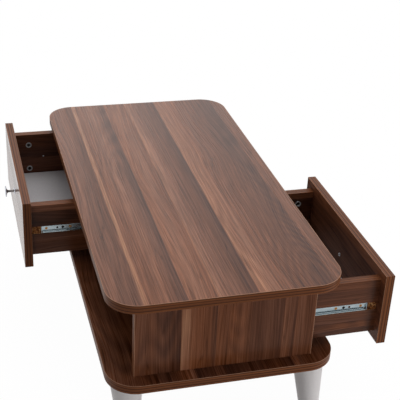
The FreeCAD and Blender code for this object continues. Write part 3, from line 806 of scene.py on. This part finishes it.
def leg(name, side, end):
    floor = GLIDE + LEG_FLOOR
    mouth = LEG_HEIGHT - SNAP_START
    groove = LEG_HEIGHT - SNAP_END
    shape = lathe([
        (0.0, GLIDE),
        (leg_radius(GLIDE), GLIDE, FOOT_ROUND),
        (LEG_HEAD, LEG_HEIGHT, RIM_ROUND),
        (LEG_HEAD - LEG_WALL, LEG_HEIGHT),
        (leg_radius(mouth) - LEG_WALL, mouth),
        (leg_radius(mouth) - LEG_WALL + SNAP_DEPTH, mouth),
        (leg_radius(groove) - LEG_WALL + SNAP_DEPTH, groove),
        (leg_radius(groove) - LEG_WALL, groove),
        (leg_radius(floor) - LEG_WALL, floor),
        (0.0, floor),
    ], steps=96)
    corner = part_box("table_top_edge_band")[1]
    head_x = side * (corner.x - LEG_FROM_SIDE * MM)
    head_y = end * (corner.y - LEG_FROM_END * MM)
    for vert in shape.verts:
        share = 1.0 - vert.co.z / (LEG_HEIGHT * MM)
        vert.co += Vector((head_x, head_y + end * LEG_LEAN * MM * share, 0.0))
    new_piece("moulded_" + name, shape, "table", name, [leg_plastic])


# Turned knobs

KNOB = [
    (0.0, 0.0),
    (7.5, 0.0),
    (7.5, 1.1, 0.4),
    (2.7, 2.2, 0.9),
    (2.7, 16.0, 1.6),
    (7.2, 18.2, 1.6),
    (13.0, 19.2, 0.6),
    (13.0, 21.0, 0.7),
    (9.0, 21.8, 2.0),
    (0.0, 22.0),
]
# The stem's darker chrome, a painted reflection of the dark wood round it, reaches out to this radius
# and up to this height
KNOB_STEM = 4.0
KNOB_TOP = 17.5


def knob(half, out):
    low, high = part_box(half + "_drawer_knob")
    middle = (low + high) / 2
    shape = lathe(KNOB, steps=64)
    # The stem gets the darker chrome: painted reflection
    second_material(shape, KNOB_STEM, below=KNOB_TOP)
    placed(shape, (low.x if out > 0 else high.x, middle.y, middle.z), (out, 0, 0))
    new_piece(half + "_turned_knob", shape, half + "_drawer", half + "_drawer_knob",
              [chrome, stem_painted_reflection], sharp=50.0)


# Screws with cross recesses, and cam fittings with deep ones

# Cross recess of a screw: half width of its arms, depth, radius of its floor, and share of the head
SCREW_ARM = 0.42
RECESS_DEPTH = 1.5
RECESS_FLOOR = 0.55
RECESS_SHARE = 0.62
HEAD_RIM = 0.15
SCREW_TIP = 2.0
# Radius and depth of the head, and radius of the shank
RAIL_SCREW = (3.0, 1.8, 1.75)
BACK_SCREW = (3.6, 3.0, 2.4)
RAIL_SCREW_LENGTH = 10.5
LOCATING_LENGTH = 15.8
BRIGHT_TIP = 3.0
BACK_SCREW_LENGTH = 40.0
KNOB_SCREW_LENGTH = 25.0
DOME_RECESS = (2.2, 0.5)
DOME_SHANK = 2.0
DOME_HEAD = [(0.0, 0.5), (0.5, 0.5), (2.2, 2.2), (3.0, 2.15), (4.0, 1.0), (4.0, 0.0), (DOME_SHANK, 0.0)]
CAM_MOUTH = 4.1
CAM_ARM = 1.5
CAM_RECESS = -3.5
CAM = [(0.0, CAM_RECESS), (1.6, CAM_RECESS), (CAM_MOUTH, -0.5), (4.4, 0.0), (7.0, 0.0), (7.4, -0.4),
       (7.4, -13.0), (0.0, -13.0)]
# Painted shade deep in a cam's recess: its radius, and how deep it reaches
CAM_PAINTED_SHADE = (4.0, -4.0)


def cross_screw(start, direction, length, sizes, roll=0.3, bright=0.0):
    """Countersunk screw, head flush at start, running back along -direction."""
    head, head_depth, core = sizes
    shape = lathe([
        (0.0, -RECESS_DEPTH),
        (RECESS_FLOOR, -RECESS_DEPTH),
        (RECESS_SHARE * head, 0.0),
        (head, 0.0),
        (head, -HEAD_RIM),
        (core, -head_depth),
        (core, SCREW_TIP - length),
        (0.0, -length),
    ], steps=32)
    cross_recess(shape, RECESS_SHARE * head, SCREW_ARM, -RECESS_DEPTH)
    second_material(shape, head, below=bright - length)
    return placed(shape, start, direction, roll)


def dome_screw(start, direction, length):
    """Pan-head screw standing proud of start, running back along -direction."""
    mouth, deepest = DOME_RECESS
    shape = lathe(DOME_HEAD + [(DOME_SHANK, -length), (0.0, -length)], steps=32)
    cross_recess(shape, mouth, SCREW_ARM, deepest)
    return placed(shape, start, direction, roll=0.2)


def cam(start, direction):
    """Cam housing flush at start, with a cross recess painted dark deep inside as shade, and a bright
    rim.
    """
    shape = lathe(CAM)
    cross_recess(shape, CAM_MOUTH, CAM_ARM, CAM_RECESS)
    hollow, deepest = CAM_PAINTED_SHADE
    # The recess's floor and lower walls get the dark metal: painted shade
    second_material(shape, hollow, above=deepest)
    return placed(shape, start, direction, roll=0.5)


# Places of the fittings in millimetres, for the near half with its drawer closed

END_FACE = -402.0
MIDDLE_FACE = -9.0
# For each side of a bay: its panel's face, the way in from it, and the drawer side's two faces
SIDES = {
    "end": {"face": END_FACE, "towards": 1, "outer": -398.0, "inner": -380.0},
    "middle": {"face": MIDDLE_FACE, "towards": -1, "outer": -13.0, "inner": -31.0},
}
RAIL_FRONT = 153.0
RAIL_REAR = -147.0
RAIL_Z = 248.0
RAIL_WEB = 9.0
FRONT_INNER = 176.0
DRAWN_OPEN = 138.0
DRAWER_CAM_X = FRONT_INNER - 34.0
BACK_SCREW_X = -163.0
FITTING_LEVELS = (216.0, 280.0)
KNOB_SCREW = (FRONT_INNER, -205.0, 248.0)
CARCASS_CAMS_X = (-120.0, 120.0)
CARCASS_CAM_LEVELS = (202.0, 294.0)
RAIL_SCREWS = (RAIL_FRONT - 10.0, RAIL_FRONT - 62.0, RAIL_REAR + 39.0)
LOCATING_SCREW = RAIL_FRONT - 46.0
SPARE_HOLE = RAIL_FRONT - 34.0
SLOT = RAIL_REAR + 60.0
CABINET_SCREWS = (RAIL_FRONT - 20.0, RAIL_FRONT - 140.0, RAIL_REAR + 30.0)


def facing(half, direction):
    """A direction in the near half, or the same one turned for the far half."""
    turn = HALVES[half]
    x, y, z = direction
    return Vector((turn * x, turn * y, z))


def in_half(half, point, drawn=True):
    """A point of the near half, with its drawer drawn or shut, turned for the far half, in metres."""
    x, y, z = point
    return facing(half, (x + (DRAWN_OPEN if drawn else 0.0), y, z)) * MM


def made_at(half, places, maker):
    """A fitting at each (point, direction) of one half, as one shape."""
    return joined([maker(in_half(half, point), facing(half, out)) for point, out in places])


def rail_screw(start, direction):
    return cross_screw(start, direction, RAIL_SCREW_LENGTH, RAIL_SCREW)


def locating_screw(start, direction):
    """Long enough for its bright tip to show inside the drawer. Its head and shank are painted dark as
    shade, and only the tip keeps the zinc.
    """
    return cross_screw(start, direction, LOCATING_LENGTH, RAIL_SCREW, bright=BRIGHT_TIP)


def back_screw(start, direction):
    return cross_screw(start, direction, BACK_SCREW_LENGTH, BACK_SCREW, roll=0.7)


def fittings(half):
    body = half + "_drawer"
    rails = []
    locating = []
    cams = []
    backs = []
    for side in SIDES.values():
        out = (0, -side["towards"], 0)
        web = side["face"] + side["towards"] * RAIL_WEB
        rails += [((x, web, RAIL_Z), out) for x in RAIL_SCREWS]
        locating.append(((LOCATING_SCREW, web, RAIL_Z), out))
        for level in FITTING_LEVELS:
            cams.append(((DRAWER_CAM_X, side["inner"], level), (0, side["towards"], 0)))
            backs.append(((BACK_SCREW_X, side["outer"], level), out))
    for node, places, maker, materials, slot in (
            ("drawer_rail_screws", rails, rail_screw, [screw_yellow], "zinc_steel"),
            ("drawer_locating_screws", locating, locating_screw, [screw_painted_shade, screw_zinc], "zinc_steel"),
            ("drawer_back_screws", backs, back_screw, [screw_zinc], "zinc_steel"),
            ("drawer_cam_locks", cams, cam, [cam_alloy, cam_recess_painted_shade], "cam_metal")):
        new_piece(half + "_cross_" + node, made_at(half, places, maker), body, half + "_" + node,
                  materials)
    screw = dome_screw(in_half(half, KNOB_SCREW), facing(half, (-1, 0, 0)), KNOB_SCREW_LENGTH)
    new_piece(half + "_domed_knob_screw", screw, body, half + "_drawer_knob_screw", [screw_zinc])


# Drawer rails: rolled channel with rounded corners, a web with holes and a slot, and an end tab

RAIL_HALF = 8.5
RAIL_TIP = 4.3
RAIL_DEPTH = 10.0
RAIL_STEEL = 1.0
LIP_END = 6.6
PLATE_HALF = 5.5
PLATE_ROUND = 3.0
LIP_ROUND = 0.8
FLANGE_ROUND = 2.2
FLANGE_REAR = RAIL_REAR + 3.0
FLANGE_FRONT = RAIL_FRONT - 1.5
TAB_START = RAIL_FRONT + 0.2
TAB_THICK = 1.2
TAB_ROUND = 0.4
SCREW_HOLE_RADIUS = 3.05
SPARE_HOLE_RADIUS = 2.4
SLOT_RADIUS = 1.7
SLOT_STRETCH = 4.0
# A point inside the channel, out from the body's panel and up from the rail's middle
CHANNEL_INSIDE = (7.5, 7.0)


def new_verts(result):
    """The vertices that an extrusion made."""
    return [item for item in result["geom"] if isinstance(item, bmesh.types.BMVert)]


def rolled_edge(up):
    """One flange with its lip, as far as the flat web."""
    shape = bmesh.new()
    outline = (
        (RAIL_TIP, LIP_END), (RAIL_TIP, RAIL_HALF), (RAIL_DEPTH, RAIL_HALF), (RAIL_DEPTH, PLATE_HALF))
    verts = [shape.verts.new((FLANGE_REAR * MM, y * MM, up * z * MM)) for y, z in outline]
    edges = [shape.edges.new(pair) for pair in zip(verts, verts[1:])]
    for corner, size in ((verts[1], LIP_ROUND), (verts[2], FLANGE_ROUND)):
        rounded(shape, [corner], size, "VERTICES", clamped=True)
    swept = bmesh.ops.extrude_edge_only(shape, edges=shape.edges[:])
    bmesh.ops.translate(shape, vec=((FLANGE_FRONT - FLANGE_REAR) * MM, 0.0, 0.0),
                        verts=new_verts(swept))
    bmesh.ops.recalc_face_normals(shape, faces=shape.faces)
    inside = Vector((0.0, CHANNEL_INSIDE[0] * MM, up * CHANNEL_INSIDE[1] * MM))
    inward = 0.0
    for face in shape.faces:
        at = face.calc_center_median()
        inward += face.normal.dot(inside - Vector((0.0, at.y, at.z)))
    if inward > 0.0:
        bmesh.ops.reverse_faces(shape, faces=shape.faces)
    bmesh.ops.solidify(shape, geom=shape.faces[:], thickness=RAIL_STEEL * MM)
    return shape


def web_plate():
    """Flat web with rounded ends, screw holes and a slot."""
    shape = bmesh.new()
    half_length = (TAB_START + TAB_THICK / 2 - RAIL_REAR) / 2
    centre = RAIL_REAR + half_length
    outline = bmesh.ops.create_grid(shape, x_segments=1, y_segments=1, size=1.0)["verts"]
    for vert in outline:
        vert.co = Vector(((centre + math.copysign(half_length, vert.co.x)) * MM, 0.0,
                          math.copysign(PLATE_HALF, vert.co.y) * MM))
    rounded(shape, outline, PLATE_ROUND, "VERTICES")
    bmesh.ops.delete(shape, geom=shape.faces[:], context="FACES_ONLY")
    holes = [(x, SCREW_HOLE_RADIUS, 0.0) for x in RAIL_SCREWS + (LOCATING_SCREW,)]
    holes += [(SPARE_HOLE, SPARE_HOLE_RADIUS, 0.0), (SLOT, SLOT_RADIUS, SLOT_STRETCH)]
    for x, radius, stretch in holes:
        ring = bmesh.ops.create_circle(shape, cap_ends=False, radius=radius * MM, segments=24)["verts"]
        for vert in ring:
            shift = math.copysign(stretch / 2 * MM, vert.co.x)
            vert.co = Vector((x * MM + vert.co.x + shift, 0.0, vert.co.y))
    bmesh.ops.triangle_fill(shape, use_beauty=True, use_dissolve=False, edges=shape.edges[:])
    bmesh.ops.translate(shape, vec=(0.0, RAIL_WEB * MM, 0.0), verts=shape.verts)
    raised = bmesh.ops.extrude_face_region(shape, geom=shape.faces[:])
    bmesh.ops.translate(shape, vec=(0.0, RAIL_STEEL * MM, 0.0), verts=new_verts(raised))
    return shape


def end_tab():
    """Tab folded across the front end of the channel, just clear of the cabinet rail."""
    shape = bmesh.new()
    size = Vector((TAB_THICK, RAIL_DEPTH - RAIL_TIP, 2 * RAIL_HALF)) * MM
    middle = Vector((TAB_START + TAB_THICK / 2, (RAIL_DEPTH + RAIL_TIP) / 2, 0.0)) * MM
    bmesh.ops.create_cube(shape, size=1.0)
    bmesh.ops.scale(shape, vec=size, verts=shape.verts)
    bmesh.ops.translate(shape, vec=middle, verts=shape.verts)
    rounded(shape, shape.edges[:], TAB_ROUND, "EDGES")
    return shape


def drawer_rail(half, name, side):
    shape = joined([rolled_edge(1), rolled_edge(-1), web_plate(), end_tab()])
    flip = Matrix.Diagonal((1.0, side["towards"], 1.0, 1.0))
    move = Matrix.Translation((DRAWN_OPEN * MM, side["face"] * MM, RAIL_Z * MM))
    spun = Matrix.Diagonal((HALVES[half], HALVES[half], 1.0, 1.0))
    bmesh.ops.transform(shape, matrix=spun @ move @ flip, verts=shape.verts)
    new_piece(half + "_rolled_rail_" + name, shape, half + "_drawer", half + "_drawer_rail_" + name,
              [slide_steel])


def carcass_cams():
    places = []
    for y, out in ((END_FACE, 1), (MIDDLE_FACE, -1), (-END_FACE, -1)):
        for x in CARCASS_CAMS_X:
            places += [((x, y, z), (0, out, 0)) for z in CARCASS_CAM_LEVELS]
    shape = joined([cam(Vector(point) * MM, out) for point, out in places])
    new_piece("cross_carcass_cam_locks", shape, "table", "carcass_cam_locks", [cam_alloy, cam_recess_painted_shade])


def cabinet_screws():
    shapes = []
    for half in HALVES:
        for side in SIDES.values():
            face = side["face"] + side["towards"] * RAIL_STEEL
            for x in CABINET_SCREWS:
                shapes.append(rail_screw(in_half(half, (x, face, RAIL_Z), drawn=False),
                                         facing(half, (0, side["towards"], 0))))
    new_piece("cross_cabinet_rail_screws", joined(shapes), "table", "cabinet_rail_screws",
              [screw_yellow])


for side_name, side in (("left", -1), ("right", 1)):
    for end_name, end in (("near", -1), ("far", 1)):
        leg("leg_" + end_name + "_" + side_name, side, end)
for half, out in HALVES.items():
    knob(half, out)
    fittings(half)
    for name, side in SIDES.items():
        drawer_rail(half, name, side)
carcass_cams()
cabinet_screws()


# Floor, light and camera

PURE_WHITE = (1.0, 1.0, 1.0, 1.0)
WARM_WHITE = (1.0, 0.968, 0.960)
FLOOR_REACH = 9.0
FLOOR_GREY = 0.42
FLOOR_GLOW = 1.04
# Share of the plain glow in the floor that the camera sees; the rest keeps the shadow
FLOOR_PLAIN = 0.94
# Strength of the sky on every side, from above and from behind
SKY_LEVEL, SKY_OVERHEAD, SKY_BEHIND = 0.025, 1.5, 0.6
# Where the sky overhead fades towards the front and the left, and to what share
FRONT_FADE = (-0.6, 0.3, 0.08, 1.0)
LEFT_FADE = (-0.8, 0.2, 0.60, 1.0)
BACK_RISE = (0.0, 0.9)
# Place, aim, width, height and power
LAMPS = {
    "overhead": ((0.3, 0.2, 3.2), (0.0, 0.0, 0.3), 2.6, 2.6, 22.0),
    "back_wall": ((1.0, 3.6, 2.2), (0.1, 0.0, 0.35), 4.6, 2.2, 36.0),
    "right_front": ((1.5, -1.5, 0.45), (0.1, -0.3, 0.15), 0.8, 0.8, 14.0),
    "left_front": ((-1.1, -2.2, 0.25), (0.0, -0.4, 0.1), 1.0, 0.5, 5.0),
}
# Fitted to the photograph
LENS = 85.85
CAMERA_PLACE = (-0.46528, -1.79365, 1.29718)
CAMERA_TURN = (61.7650, -2.5553, -14.8974)


def seen_white(tree):
    """1 for what the camera sees, straight or in a glossy surface."""
    path = add(tree, "ShaderNodeLightPath").outputs
    return calc(tree, "MAXIMUM", path["Is Camera Ray"], path["Is Glossy Ray"])


def stage_floor():
    """White floor. The camera sees it near white, with the table's soft shadow left on it."""
    shape = bmesh.new()
    bmesh.ops.create_grid(shape, x_segments=1, y_segments=1, size=FLOOR_REACH)
    mesh = bpy.data.meshes.new("floor")
    shape.to_mesh(mesh)
    shape.free()
    material = bpy.data.materials.new("floor_white")
    material.use_nodes = True
    tree = material.node_tree
    shader = tree.nodes["Principled BSDF"]
    shader.inputs["Base Color"].default_value = grey(FLOOR_GREY)
    shader.inputs["Roughness"].default_value = 0.9
    shader.inputs["Specular IOR Level"].default_value = 0.0
    glow = add(tree, "ShaderNodeEmission", inputs={"Color": PURE_WHITE, "Strength": FLOOR_GLOW})
    seen = calc(tree, "MULTIPLY", seen_white(tree), FLOOR_PLAIN)
    mix = add(tree, "ShaderNodeMixShader", inputs={0: seen, 1: shader.outputs[0], 2: glow.outputs[0]})
    tree.links.new(mix.outputs[0], tree.nodes["Material Output"].inputs["Surface"])
    mesh.materials.append(material)
    new_object("floor", mesh)


def sky():
    """Pale studio round the table: brightest above and behind it. The camera sees plain white."""
    world = bpy.data.worlds.new("studio")
    bpy.context.scene.world = world
    world.use_nodes = True
    tree = world.node_tree
    soft = tree.nodes["Background"]
    soft.inputs["Color"].default_value = (*WARM_WHITE, 1.0)
    towards = axes(tree, add(tree, "ShaderNodeTexCoord").outputs["Generated"])
    up = calc(tree, "POWER", calc(tree, "MAXIMUM", towards["z"], 0.0), 2.0)
    front = remap(tree, towards["y"], *FRONT_FADE)
    left = remap(tree, towards["x"], *LEFT_FADE)
    away = calc(tree, "MULTIPLY", front, left)
    light = calc(tree, "MULTIPLY_ADD", calc(tree, "MULTIPLY", up, away), SKY_OVERHEAD, SKY_LEVEL)
    back = remap(tree, towards["y"], *BACK_RISE)
    light = calc(tree, "MULTIPLY_ADD", back, SKY_BEHIND, light)
    tree.links.new(light, soft.inputs["Strength"])
    white = add(tree, "ShaderNodeBackground", inputs={"Color": PURE_WHITE, "Strength": 1.0})
    mix = add(tree, "ShaderNodeMixShader", inputs={
        0: seen_white(tree), 1: soft.outputs[0], 2: white.outputs[0]})
    tree.links.new(mix.outputs[0], tree.nodes["World Output"].inputs["Surface"])


def lamp(name, place, aim, width, height, power):
    data = bpy.data.lights.new(name, "AREA")
    data.shape = "RECTANGLE"
    data.size = width
    data.size_y = height
    data.energy = power
    data.color = WARM_WHITE
    light = new_object(name, data)
    light.location = place
    light.rotation_euler = (Vector(aim) - Vector(place)).to_track_quat("-Z", "Y").to_euler()


def camera():
    data = bpy.data.cameras.new("camera")
    data.sensor_fit = "HORIZONTAL"
    data.sensor_width = 36.0
    data.lens = LENS
    data.clip_end = 50.0
    eye = new_object("camera", data)
    eye.location = CAMERA_PLACE
    eye.rotation_euler = Euler([math.radians(angle) for angle in CAMERA_TURN], "XYZ")
    bpy.context.scene.camera = eye


stage_floor()
sky()
for name, settings in LAMPS.items():
    lamp(name, *settings)
camera()
bpy.context.scene.view_settings.view_transform = "Standard"
